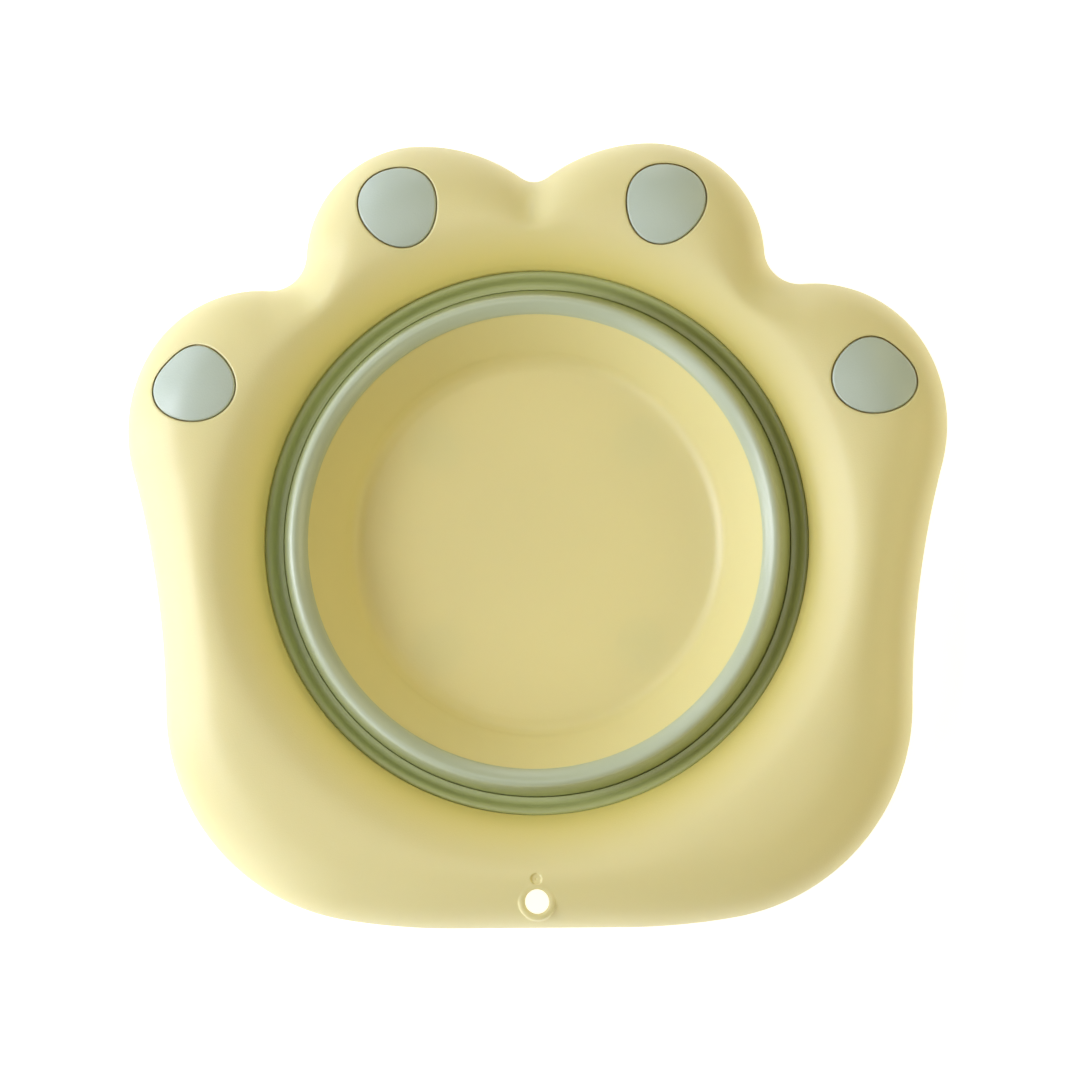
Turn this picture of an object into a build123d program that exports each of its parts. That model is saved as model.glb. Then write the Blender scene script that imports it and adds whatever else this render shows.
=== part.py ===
from build123d import *
import math
import os

# Folding pet bathtub: a paw-shaped floating rim, a soft wall that rolls over,
# and a round pan.  Millimetres, +Z up, floor at z = 0, stored folded flat.

# ---------------------------------------------------------------- dimensions
RING_Y = -3.98          # y of the tub's round axis; the paw is centred on y = 0

CREST_Z = 50.0          # top of the rim
SKIRT_Z = 2.5           # lower edge of the rim's outer skirt, folded
WALL_T = 2.4            # moulded plastic wall

# paw outline, right half, from the middle of the straight base, counter-clockwise
BASE_HALF = 41.6        # half the straight base
BASE_DROP = 186.5       # base edge below the round axis
OUTLINE_ARCS = [        # (radius, sweep in degrees), each tangent to the last
    (314.8, 9.7),       # base running into the corner
    (104.2, 80.0),      # heel corner
    (459.7, -14.7),     # waisted side
    (75.0, 41.9),       # outer toe, outside
    (63.5, 67.1),       # outer toe, tip
    (17.5, -90.9),      # notch between outer and inner toe
    (56.3, 88.1),       # inner toe, tip
    (84.2, 34.8),       # inner toe running into the middle notch
]
DOME_R = 28.0           # rounding of the rim's outer edge
RING_R = 132.1          # rim's round opening
COLLAR_TOP_Z = 29.0     # the conical slope meets the round collar here
COLLAR_LOW_Z = 18.0     # lower edge of the rim's inner collar
CONE_DEG = 52.4         # pitch of the conical slope down into the opening
SHOULDER_R = 20.0       # rounding between that slope and the crest

RIB_T = 1.8             # stiffening ribs under the rim
RIB_LOW_Z = 39.0
RIB_ANGLES = [-90, -62, -34, -6, 20, 48, 72, 90, 108, 132, 160, 186, 214, 242]

HOLE_OFF_Y = -173.7     # hanging hole, from the round axis
HOLE_R = 5.85
HOLE_TUBE_R = 8.1
HOLE_TUBE_LOW_Z = 38.0
HOLE_TUBE_TOP_Z = 45.6  # middle of the tube's sloping top
HOLE_TUBE_LEAN = 26.0   # the top follows the dome
DIMPLE_OFF_Y = -162.9
DIMPLE_R = 2.5
DIMPLE_DEPTH = 0.8

# toe pads: centre from the round axis, half width, half height
PAD_INNER = (64.96, 163.6, 19.6, 20.6)
PAD_OUTER = (164.5, 78.8, 21.0, 19.35)
PAD_TILT = 11.0         # pads lean outward with the toe
PAD_TOP_Z = 46.4        # height of the pad's face plane at its centre
PAD_CROWN = 2.6         # pad face rises this much in the middle
PAD_T = 3.0
PAD_GAP = 0.4
POCKET_DEPTH = 3.4
STEM_R = 3.0
STEM_HOLE_R = 3.0

# soft wall, folded: the outer band hangs from the rim, the inner band stands on
# the bead side, and they meet at the bottom of the fold
SOFT_T = 1.6
LIP_TOP_Z = 29.0
LIP_IN_R = 126.9
SHELF_IN_R = 123.2      # a soft shelf below the lip closes the fold from above
FOLD_LOW_Z = 2.8
SPLIT_R_OUT = 125.0     # outer band starts outside this radius at the fold
SPLIT_R_IN = 124.5      # inner band ends inside this radius
FOLD_TOP_Z = 42.5

# pan
PAN_RIM_R = 114.7
PAN_RIM_IN_R = 112.3
PAN_TOP_Z = 41.0
PAN_IN_R = 109.9
PAN_FLOOR_R = 90.0
PAN_FLOOR_Z = 8.0
PAN_UNDER_Z = 5.4
BEAD_OUT_R = 119.3
BEAD_TOP_Z = 45.0
BEAD_LOW_Z = 39.0

FOOT_R = 10.0
FOOT_RING = 70.0        # feet stand this far from the axis
FOOT_SOCKET_R = 12.2
FOOT_SOCKET_LOW_Z = 2.2

os.makedirs("parts", exist_ok=True)

AXIS = Axis((0, RING_Y, 0), (0, 0, 1))


def level(z):
    """Horizontal plane at height z, centred on the tub's round axis."""
    return Plane((0, RING_Y, z))


# half section plane: local x is the radius, local y is the height
SECTION = Plane(origin=(0, RING_Y, 0), x_dir=(1, 0, 0), z_dir=(0, -1, 0))


# ---------------------------------------------------------------- paw outline
with BuildLine() as paw_outline:
    Line((0, -BASE_DROP), (BASE_HALF, -BASE_DROP))
    at, heading = Vector(BASE_HALF, -BASE_DROP), Vector(1, 0)
    for radius, sweep in OUTLINE_ARCS:
        arc = JernArc(start=at, tangent=heading, radius=radius, arc_size=sweep)
        at, heading = arc @ 1, arc % 1
    # the middle notch is one arc centred on the plane of symmetry
    turn = math.degrees(math.atan2(-heading.Y, -heading.X))
    notch_r = at.X / math.sin(math.radians(turn))
    JernArc(start=at, tangent=heading, radius=notch_r, arc_size=-turn)
    mirror(about=Plane.YZ)


# ---------------------------------------------------------------- toe pad frames
def pad_frame(x, y):
    """Plane on a toe, leaning outward by the pad's tilt."""
    length = math.hypot(x, y)
    ux, uy = x / length, y / length
    s, c = math.sin(math.radians(PAD_TILT)), math.cos(math.radians(PAD_TILT))
    return Plane(
        origin=(x, y + RING_Y, PAD_TOP_Z),
        x_dir=(1, 0, -ux * s / c),
        z_dir=(ux * s, uy * s, c),
    )


PADS = []
for name, (px, py, half_w, half_h) in (("inner", PAD_INNER), ("outer", PAD_OUTER)):
    for side, sign in (("right", 1), ("left", -1)):
        PADS.append((f"toe_pad_{name}_{side}", pad_frame(sign * px, py), half_w, half_h))


# ---------------------------------------------------------------- rim: slope into the opening
CONE_SIN = math.sin(math.radians(CONE_DEG))
CONE_COS = math.cos(math.radians(CONE_DEG))
CONE_TAN = CONE_SIN / CONE_COS
# the shoulder arc is tangent to the cone and to the level crest
SHOULDER_Z = CREST_Z - SHOULDER_R
TOUCH_Z = SHOULDER_Z + SHOULDER_R * CONE_COS
TOUCH_R = RING_R + (TOUCH_Z - COLLAR_TOP_Z) / CONE_TAN
CREST_R = TOUCH_R + SHOULDER_R * CONE_SIN


# ---------------------------------------------------------------- rim: void under the shell
with BuildPart() as rim_void:
    with BuildSketch(level(SKIRT_Z - 1)):
        with BuildLine():
            add(paw_outline.line)
        make_face()
        offset(amount=-WALL_T)
    extrude(amount=CREST_Z - WALL_T - (SKIRT_Z - 1))
    fillet(rim_void.faces().sort_by(Axis.Z)[-1].edges(), DOME_R - WALL_T)
    with BuildSketch(SECTION):
        with BuildLine():
            CenterArc((CREST_R, SHOULDER_Z), SHOULDER_R - WALL_T, 90, CONE_DEG)
            inner_r = TOUCH_R + WALL_T * CONE_SIN
            inner_z = TOUCH_Z - WALL_T * CONE_COS
            Polyline(
                (CREST_R, CREST_Z - WALL_T),
                (CREST_R, CREST_Z + 5),
                (0, CREST_Z + 5),
                (0, -5),
                (RING_R + WALL_T, -5),
                (RING_R + WALL_T, inner_z - (inner_r - RING_R - WALL_T) * CONE_TAN),
                (inner_r, inner_z),
            )
        make_face()
    revolve(axis=AXIS, mode=Mode.SUBTRACT)
    # tube wall of the hanging hole
    with BuildSketch(level(HOLE_TUBE_LOW_Z)):
        with Locations((0, HOLE_OFF_Y)):
            Circle(HOLE_TUBE_R)
    extrude(amount=30, mode=Mode.SUBTRACT)
    # bosses behind the toe pads
    for _, frame, half_w, half_h in PADS:
        with BuildSketch(frame.offset(-POCKET_DEPTH - WALL_T)):
            Ellipse(half_w + PAD_GAP + WALL_T, half_h + PAD_GAP + WALL_T)
        extrude(amount=WALL_T + 12, mode=Mode.SUBTRACT)
    # radial ribs, shallow plates in the upper part of the shell
    with BuildSketch(level(RIB_LOW_Z)):
        for angle in RIB_ANGLES:
            with Locations(Location((0, 0, 0), (0, 0, angle))):
                with Locations((180, 0)):
                    Rectangle(120, RIB_T)
    extrude(amount=30, mode=Mode.SUBTRACT)


# ---------------------------------------------------------------- tube round the hanging hole
with BuildPart() as hole_tube:
    with BuildSketch(level(HOLE_TUBE_LOW_Z)):
        with Locations((0, HOLE_OFF_Y)):
            Circle(HOLE_TUBE_R)
    extrude(amount=CREST_Z - HOLE_TUBE_LOW_Z)
    lean = math.radians(HOLE_TUBE_LEAN)
    tube_top = Plane(
        origin=(0, HOLE_OFF_Y + RING_Y, HOLE_TUBE_TOP_Z),
        x_dir=(1, 0, 0),
        z_dir=(0, -math.sin(lean), math.cos(lean)),
    )
    with BuildSketch(tube_top):
        Rectangle(40, 40)
    extrude(amount=20, mode=Mode.SUBTRACT)


# ---------------------------------------------------------------- rim shell
with BuildPart() as rim_shell:
    with BuildSketch(level(SKIRT_Z)):
        with BuildLine():
            add(paw_outline.line)
        make_face()
    extrude(amount=CREST_Z - SKIRT_Z)
    fillet(rim_shell.faces().sort_by(Axis.Z)[-1].edges(), DOME_R)
    with BuildSketch(SECTION):
        with BuildLine():
            CenterArc((CREST_R, SHOULDER_Z), SHOULDER_R, 90, CONE_DEG)
            Polyline(
                (CREST_R, CREST_Z),
                (CREST_R, CREST_Z + 5),
                (0, CREST_Z + 5),
                (0, -5),
                (RING_R + WALL_T + 1, -5),
                (RING_R + WALL_T + 1, COLLAR_LOW_Z),
                (RING_R, COLLAR_LOW_Z),
                (RING_R, COLLAR_TOP_Z),
                (TOUCH_R, TOUCH_Z),
            )
        make_face()
    revolve(axis=AXIS, mode=Mode.SUBTRACT)
    add(rim_void.part, mode=Mode.SUBTRACT)
    # pad pockets and the holes for their stems
    for _, frame, half_w, half_h in PADS:
        with BuildSketch(frame.offset(-POCKET_DEPTH)):
            Ellipse(half_w + PAD_GAP, half_h + PAD_GAP)
        extrude(amount=12, mode=Mode.SUBTRACT)
        with BuildSketch(frame.offset(-POCKET_DEPTH - WALL_T - 2)):
            Circle(STEM_HOLE_R)
        extrude(amount=WALL_T + 4, mode=Mode.SUBTRACT)
    # hanging hole with a raised tube round it
    add(hole_tube.part)
    with BuildSketch(level(SKIRT_Z - 1)):
        with Locations((0, HOLE_OFF_Y)):
            Circle(HOLE_R)
    extrude(amount=60, mode=Mode.SUBTRACT)
    # dimple beside the hole, a shallow ball mark
    ball_r = (DIMPLE_R**2 + DIMPLE_DEPTH**2) / (2 * DIMPLE_DEPTH)
    with Locations((0, RING_Y + DIMPLE_OFF_Y, CREST_Z + ball_r - DIMPLE_DEPTH)):
        Sphere(ball_r, mode=Mode.SUBTRACT)
rim_shell.part.label = "rim_shell"
export_step(rim_shell.part, "parts/rim_shell.step")


# ---------------------------------------------------------------- toe pads
for name, frame, half_w, half_h in PADS:
    with BuildPart() as pad:
        with BuildSketch(frame.offset(-PAD_T)):
            Ellipse(half_w, half_h)
        extrude(amount=PAD_T + 8)
        # crowned face: the part of a large ball
        crown_r = (half_w**2 + PAD_CROWN**2) / (2 * PAD_CROWN)
        centre = frame.offset(PAD_CROWN - crown_r)
        with Locations(centre.location):
            Sphere(crown_r, mode=Mode.INTERSECT)
        # stem through the pocket floor, with a barb behind it
        with BuildSketch(frame.offset(-PAD_T)):
            Circle(STEM_R)
        extrude(amount=-(POCKET_DEPTH - PAD_T + WALL_T + 0.2))
        with BuildSketch(frame.offset(-POCKET_DEPTH - WALL_T - 0.2)):
            Circle(STEM_R + 1.2)
        extrude(amount=-3.0, taper=25)
    pad.part.label = name
    export_step(pad.part, f"parts/{name}.step")


# ---------------------------------------------------------------- soft wall, outer band
with BuildPart() as wall_upper_band:
    with BuildSketch(SECTION):
        with BuildLine():
            Polyline(
                (RING_R, LIP_TOP_Z),
                (RING_R - 2.6, LIP_TOP_Z),
                (LIP_IN_R + 0.6, LIP_TOP_Z - 0.9),
                (LIP_IN_R, LIP_TOP_Z - 2.4),
                (SHELF_IN_R + 1.4, LIP_TOP_Z - 4.2),
                (SHELF_IN_R + 0.2, LIP_TOP_Z - 4.6),
                (SHELF_IN_R, LIP_TOP_Z - 5.2),
                (SHELF_IN_R + 0.4, LIP_TOP_Z - 5.8),
                (LIP_IN_R + 0.6, LIP_TOP_Z - 7.8),
                (LIP_IN_R + 1.0, LIP_TOP_Z - 9.5),
                (SPLIT_R_OUT + 2.4, FOLD_LOW_Z + 4.2),
                (SPLIT_R_OUT, FOLD_LOW_Z + SOFT_T),
                (SPLIT_R_OUT, FOLD_LOW_Z),
                (SPLIT_R_OUT + 2.4, FOLD_LOW_Z + 0.9),
                (SPLIT_R_OUT + 4.1, FOLD_LOW_Z + 4.0),
                (LIP_IN_R + 3.3, COLLAR_LOW_Z),
                (RING_R, COLLAR_LOW_Z + 1.5),
                close=True,
            )
        make_face()
    revolve(axis=AXIS)
wall_upper_band.part.label = "wall_upper_band"
export_step(wall_upper_band.part, "parts/wall_upper_band.step")


# ---------------------------------------------------------------- soft wall, inner band
with BuildPart() as wall_fold_band:
    with BuildSketch(SECTION):
        with BuildLine():
            Polyline(
                (SPLIT_R_IN, FOLD_LOW_Z),
                (SPLIT_R_IN, FOLD_LOW_Z + SOFT_T),
                (SPLIT_R_IN - 1.0, FOLD_LOW_Z + 3.8),
                (BEAD_OUT_R + 2.1, FOLD_TOP_Z - 0.4),
                (BEAD_OUT_R + 1.3, FOLD_TOP_Z),
                (BEAD_OUT_R + 0.5, FOLD_TOP_Z - 0.5),
                (SPLIT_R_IN - 2.6, FOLD_LOW_Z + 3.4),
                (SPLIT_R_IN - 1.6, FOLD_LOW_Z + 0.8),
                close=True,
            )
        make_face()
    revolve(axis=AXIS)
wall_fold_band.part.label = "wall_fold_band"
export_step(wall_fold_band.part, "parts/wall_fold_band.step")


# ---------------------------------------------------------------- pan
SLOPE_DX, SLOPE_DZ = PAN_IN_R - PAN_FLOOR_R, BEAD_LOW_Z - PAN_FLOOR_Z
SLOPE_LEN = math.hypot(SLOPE_DX, SLOPE_DZ)
OUT_X, OUT_Z = WALL_T * SLOPE_DZ / SLOPE_LEN, -WALL_T * SLOPE_DX / SLOPE_LEN
# where the sloped outer face meets the underside and the upright edge
RUN = SLOPE_DX / SLOPE_DZ
UNDER_R = PAN_FLOOR_R + OUT_X + (PAN_UNDER_Z - PAN_FLOOR_Z - OUT_Z) * RUN
EDGE_Z = PAN_FLOOR_Z + OUT_Z + (PAN_RIM_R - PAN_FLOOR_R - OUT_X) / RUN

with BuildPart() as basin_pan:
    with BuildSketch(SECTION) as pan_section:
        with BuildLine():
            Polyline(
                (0, PAN_FLOOR_Z),
                (PAN_FLOOR_R, PAN_FLOOR_Z),
                (PAN_IN_R, BEAD_LOW_Z),
                (PAN_RIM_IN_R, BEAD_LOW_Z),
                (PAN_RIM_IN_R, PAN_TOP_Z),
                (PAN_RIM_R, PAN_TOP_Z),
                (PAN_RIM_R, EDGE_Z),
                (UNDER_R, PAN_UNDER_Z),
                (0, PAN_UNDER_Z),
                close=True,
            )
        make_face()
        corners = pan_section.vertices()
        fillet(corners.sort_by_distance((PAN_FLOOR_R, RING_Y, PAN_FLOOR_Z))[0], 11.0)
        corners = pan_section.vertices()
        fillet(corners.sort_by_distance((UNDER_R, RING_Y, PAN_UNDER_Z))[0], 13.0)
    revolve(axis=AXIS)
    # sockets for the feet
    with BuildSketch(level(FOOT_SOCKET_LOW_Z)):
        with PolarLocations(FOOT_RING, 4, 45):
            Circle(FOOT_SOCKET_R)
            Circle(FOOT_R, mode=Mode.SUBTRACT)
    extrude(amount=PAN_UNDER_Z - FOOT_SOCKET_LOW_Z)
basin_pan.part.label = "basin_pan"
export_step(basin_pan.part, "parts/basin_pan.step")


# ---------------------------------------------------------------- bead on the pan's edge
with BuildPart() as pan_rim_bead:
    with BuildSketch(SECTION):
        with BuildLine():
            Polyline(
                (PAN_IN_R, BEAD_LOW_Z),
                (PAN_IN_R + 0.5, BEAD_TOP_Z - 4.4),
                (PAN_IN_R + 3.6, BEAD_TOP_Z - 1.6),
                (PAN_IN_R + 6.6, BEAD_TOP_Z),
                (BEAD_OUT_R - 1.4, BEAD_TOP_Z - 0.2),
                (BEAD_OUT_R - 0.3, BEAD_TOP_Z - 1.2),
                (BEAD_OUT_R, BEAD_TOP_Z - 2.4),
                (BEAD_OUT_R - 0.4, BEAD_LOW_Z + 0.4),
                (PAN_RIM_R, BEAD_LOW_Z - 0.6),
                (PAN_RIM_R, PAN_TOP_Z),
                (PAN_RIM_IN_R, PAN_TOP_Z),
                (PAN_RIM_IN_R, BEAD_LOW_Z),
                close=True,
            )
        make_face()
    revolve(axis=AXIS)
pan_rim_bead.part.label = "pan_rim_bead"
export_step(pan_rim_bead.part, "parts/pan_rim_bead.step")


# ---------------------------------------------------------------- non-slip feet
for i, name in enumerate(("foot_rear_right", "foot_rear_left", "foot_front_left", "foot_front_right")):
    angle = math.radians(45 + 90 * i)
    fx, fy = FOOT_RING * math.cos(angle), FOOT_RING * math.sin(angle) + RING_Y
    with BuildPart() as foot:
        with BuildSketch(Plane((fx, fy, 0))):
            Circle(FOOT_R)
        extrude(amount=PAN_UNDER_Z)
        chamfer(foot.faces().sort_by(Axis.Z)[0].edges(), 0.8)
    foot.part.label = name
    export_step(foot.part, f"parts/{name}.step")
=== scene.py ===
import math

import bmesh
import bpy
import numpy as np
from mathutils import Matrix, Vector
from mathutils.geometry import delaunay_2d_cdt
from mathutils.kdtree import KDTree


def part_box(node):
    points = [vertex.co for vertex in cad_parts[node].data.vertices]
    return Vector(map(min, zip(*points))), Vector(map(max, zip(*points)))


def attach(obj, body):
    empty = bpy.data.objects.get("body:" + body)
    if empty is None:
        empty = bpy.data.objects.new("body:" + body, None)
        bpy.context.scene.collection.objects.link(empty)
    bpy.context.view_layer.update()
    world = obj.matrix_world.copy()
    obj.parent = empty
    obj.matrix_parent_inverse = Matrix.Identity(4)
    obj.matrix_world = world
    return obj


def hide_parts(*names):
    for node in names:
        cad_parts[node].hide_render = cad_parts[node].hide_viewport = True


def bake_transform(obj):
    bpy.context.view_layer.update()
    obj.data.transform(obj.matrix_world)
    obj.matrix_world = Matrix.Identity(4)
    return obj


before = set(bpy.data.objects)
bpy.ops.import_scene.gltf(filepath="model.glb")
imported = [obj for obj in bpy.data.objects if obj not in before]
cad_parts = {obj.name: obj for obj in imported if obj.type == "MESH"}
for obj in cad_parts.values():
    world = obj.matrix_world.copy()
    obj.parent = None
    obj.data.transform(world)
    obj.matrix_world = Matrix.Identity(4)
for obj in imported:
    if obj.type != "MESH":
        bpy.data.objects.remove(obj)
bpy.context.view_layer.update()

MM = 0.001
lo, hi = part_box("wall_upper_band")
RING_Y = (lo.y + hi.y) / 2 / MM            # the tub's round axis


# ------------------------------------------------------------------ paw outline
BASE_HALF, BASE_DROP = 41.6, 186.5
OUTLINE_ARCS = [
    (314.8, 9.7), (104.2, 80.0), (459.7, -14.7), (75.0, 41.9), (63.5, 67.1),
    (17.5, -90.9), (56.3, 88.1), (84.2, 34.8),
]
RING_R = 132.1


def outline(step):
    """Points of the paw outline, counter-clockwise from the middle notch, about the round axis."""
    pts = []
    n = max(2, int(BASE_HALF / step))
    for i in range(n):
        pts.append((BASE_HALF * i / n, -BASE_DROP))
    at = np.array([BASE_HALF, -BASE_DROP])
    ang = 0.0
    arcs = list(OUTLINE_ARCS)
    total = sum(a for _, a in arcs)
    for k in range(len(arcs) + 1):
        if k < len(arcs):
            radius, sweep = arcs[k]
        else:
            turn = math.degrees(math.atan2(-math.sin(ang), -math.cos(ang)))
            radius, sweep = at[0] / math.sin(math.radians(turn)), -turn
        s = 1 if sweep > 0 else -1
        left = np.array([-math.sin(ang), math.cos(ang)])
        centre = at + s * radius * left
        n = max(4, int(abs(math.radians(sweep)) * radius / step))
        for i in range(n):
            a = math.radians(sweep) * i / n
            v = -s * radius * left
            pts.append(tuple(centre + np.array([v[0] * math.cos(a) - v[1] * math.sin(a),
                                                v[0] * math.sin(a) + v[1] * math.cos(a)])))
        a = math.radians(sweep)
        v = -s * radius * left
        at = centre + np.array([v[0] * math.cos(a) - v[1] * math.sin(a), v[0] * math.sin(a) + v[1] * math.cos(a)])
        ang += a
    right = np.array(pts)                       # from (0, -drop) up to just before the notch bottom
    top = np.array([[0.0, at[1]]])
    left_side = right[1:][::-1] * np.array([-1, 1])
    loop = np.vstack([right, top, left_side])
    return loop


FINE = outline(0.5)
FINE_N = len(FINE)
TREE = KDTree(FINE_N)
for i, p in enumerate(FINE):
    TREE.insert((p[0], p[1], 0.0), i)
TREE.balance()
NOTCH_Y = FINE[np.abs(FINE[:, 0]) < 1e-9][:, 1].max()


def edge_distance(xy):
    """Distance of each point to the outline."""
    idx = np.array([TREE.find((p[0], p[1], 0.0))[1] for p in xy])
    best = np.full(len(xy), 1e9)
    for o in (-1, 0):
        a, b = FINE[(idx + o) % FINE_N], FINE[(idx + o + 1) % FINE_N]
        ab = b - a
        t = np.clip(((xy - a) * ab).sum(1) / (ab * ab).sum(1), 0, 1)
        best = np.minimum(best, np.linalg.norm(xy - (a + ab * t[:, None]), axis=1))
    return best


def smoothstep(a, b, x):
    t = np.clip((x - a) / (b - a), 0, 1)
    return t * t * (3 - 2 * t)


# ------------------------------------------------------------------ rim surface, millimetres about the round axis
EDGE_Z = 21.5        # the outer side is upright up to here
TOP_H = 27.2         # rise of the dome above that
COLLAR_Z = 31.0      # slope meets the opening
HOLE = (0.0, -173.7)
HOLE_R = 5.85
DIMPLE = (0.0, -162.9)

# inner slope: pitch against distance from the opening, summed up into a height table
_t = np.linspace(0, 60, 1201)
_pitch = np.interp(_t, [0, 1, 2, 3.5, 7, 12, 17, 22, 27, 32, 37], [64, 57, 50, 42, 32, 26, 23, 20, 13, 6, 0])
_rise = np.concatenate([[0], np.cumsum(np.tan(np.radians((_pitch[1:] + _pitch[:-1]) / 2)) * np.diff(_t))])
_rise *= (EDGE_Z + TOP_H - COLLAR_Z) / _rise[-1]

# plan width of the outer dome by direction, from the smoothed outline
_a = np.arctan2(FINE[:, 1], FINE[:, 0])
_order = np.argsort(_a)
_deg = np.radians(np.arange(-180, 180, 1.0))
_rad = np.interp(_deg, _a[_order], np.hypot(FINE[:, 0], FINE[:, 1])[_order], period=2 * math.pi)
_g = np.exp(-(np.arange(-30, 31) / 11.0) ** 2 / 2)
_smooth = np.convolve(np.concatenate([_rad[-30:], _rad, _rad[:30]]), _g / _g.sum(), "valid")
_width = np.clip(_smooth - RING_R - 27.0, 30.0, 47.0)
_width = np.convolve(np.concatenate([_width[-30:], _width, _width[:30]]), _g / _g.sum(), "valid")


def inner_height(di):
    return COLLAR_Z + np.interp(di, _t, _rise)


def outer_height(x, y, do):
    w = np.interp(np.arctan2(y, x), _deg, _width, period=2 * math.pi)
    u = 1 - np.clip(do / w, 0, 1)
    return EDGE_Z + TOP_H * (1 - u ** 2.04) ** (1 / 2.04)


SIDE_NOTCH = []
for sgn in (1, -1):
    m = (FINE[:, 0] * sgn > 80) & (FINE[:, 0] * sgn < 135) & (FINE[:, 1] > 90)
    near = FINE[m]
    k = np.argmin(np.hypot(near[:, 0], near[:, 1]))
    SIDE_NOTCH.append(tuple(near[k]))


def valley(x, y, px, py, depth, width, length):
    """Share taken off the dome along a line from a notch toward the round axis."""
    r = math.hypot(px, py)
    ux, uy = -px / r, -py / r
    v = (x - px) * ux + (y - py) * uy
    u = (x - px) * uy - (y - py) * ux
    w = width * (1 + np.clip(v, 0, 60) / 40)
    return depth * np.exp(-(u / w) ** 2) * (1 - smoothstep(0, length, v))


def smin(a, b, k):
    h = np.clip(0.5 + 0.5 * (b - a) / k, 0, 1)
    return b + (a - b) * h - k * h * (1 - h)


def smax(a, b, k):
    return -smin(-a, -b, k)


def rim_top(x, y, do=None):
    """Height of the rim's upper surface, without pockets."""
    xy = np.stack([x, y], 1)
    if do is None:
        do = edge_distance(xy)
    di = np.hypot(x, y) - RING_R
    zo, zi = outer_height(x, y, do), inner_height(di)
    v = valley(x, y, 0, NOTCH_Y, 0.19, 6.0, 44)
    for px, py in SIDE_NOTCH:
        v = v + valley(x, y, px, py, 0.13, 7.0, 34)
    zo = EDGE_Z + (zo - EDGE_Z) * (1 - v)
    z = smin(zo, zi, 3.0)
    # hanging hole's collar, its top leaning with the dome
    rho = np.hypot(x - HOLE[0], y - HOLE[1])
    collar_top = HOLE_TOP + HOLE_LEAN * (y - HOLE[1]) - 0.3 * smoothstep(6.9, 5.85, rho) - 0.45 * smoothstep(7.9, 9.0, rho) - 30 * smoothstep(8.8, 10.8, rho) ** 1.5
    z = smax(z, np.where(rho < 13, collar_top, -100.0), 0.45)
    # dimple beside it
    rd = np.hypot(x - DIMPLE[0], y - DIMPLE[1])
    z = z - 0.85 * (1 - smoothstep(2.1, 3.0, rd)) - 0.25 * (1 - smoothstep(0.2, 0.9, rd))
    return z


HOLE_TOP, HOLE_LEAN = -100.0, 0.0
_at = rim_top(np.zeros(3), np.array([HOLE[1] - 4, HOLE[1], HOLE[1] + 4]))
HOLE_TOP, HOLE_LEAN = float(_at[1]) + 0.55, 0.62 * float(_at[2] - _at[0]) / 8


# ------------------------------------------------------------------ toe pads
PAD_SHAPES = {        # middle, then the radius as a short series in the angle
    "inner": (64.7, 162.7, 19.30, (0.0, -0.24, 0.47, -0.11), (0.0, 0.50, 0.41, 0.0)),
    "outer": (164.3, 77.2, 18.95, (0.0, 0.89, 0.24, 0.30), (0.0, -0.55, -0.72, -0.05)),
}


def pad_shape(kind, sign):
    """Radius of a toe pad by plan angle, and its loop at an offset."""
    cx, cy, r0, ca, sa = PAD_SHAPES[kind]

    def radius(t):
        t = np.asarray(t, float)
        if sign < 0:
            t = math.pi - t
        return r0 + sum(a * np.cos((n + 1) * t) + b * np.sin((n + 1) * t) for n, (a, b) in enumerate(zip(ca, sa)))

    def loop(t, grow):
        r = radius(t) + grow
        return sign * cx + r * np.cos(t), cy + r * np.sin(t)
    return radius, loop, (sign * cx, cy)


PADS = []
for kind in ("inner", "outer"):
    for side, sign in (("right", 1), ("left", -1)):
        radius, loop, centre = pad_shape(kind, sign)
        PADS.append({"name": f"toe_pad_{kind}_{side}", "radius": radius, "loop": loop, "centre": centre})
PAD_GAP = 0.72
POCKET = 4.0


def pad_gap_distance(pad, x, y):
    """Distance outside a pad's pocket edge, negative within it."""
    cx, cy = pad["centre"]
    return np.hypot(x - cx, y - cy) - pad["radius"](np.arctan2(y - cy, x - cx)) - PAD_GAP


# ------------------------------------------------------------------ mesh helpers
def make_mesh(name, verts, faces, smooth=True):
    me = bpy.data.meshes.new(name)
    v = np.array(verts, float)
    v = np.column_stack([v[:, 0] * MM, (v[:, 1] + RING_Y) * MM, v[:, 2] * MM])
    me.from_pydata([tuple(p) for p in v], [], faces)
    me.validate()
    me.update()
    if smooth:
        me.polygons.foreach_set("use_smooth", [True] * len(me.polygons))
    ob = bpy.data.objects.new(name, me)
    bpy.context.scene.collection.objects.link(ob)
    return ob


def sharpen(ob, degrees=35):
    """Smooth shading except across edges sharper than that."""
    me = ob.data
    bm = bmesh.new()
    bm.from_mesh(me)
    for e in bm.edges:
        if len(e.link_faces) == 2 and e.calc_face_angle(0) > math.radians(degrees):
            e.smooth = False
    bm.to_mesh(me)
    bm.free()


def fix_normals(ob):
    bm = bmesh.new()
    bm.from_mesh(ob.data)
    bmesh.ops.recalc_face_normals(bm, faces=bm.faces[:])
    bm.to_mesh(ob.data)
    bm.free()


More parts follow.
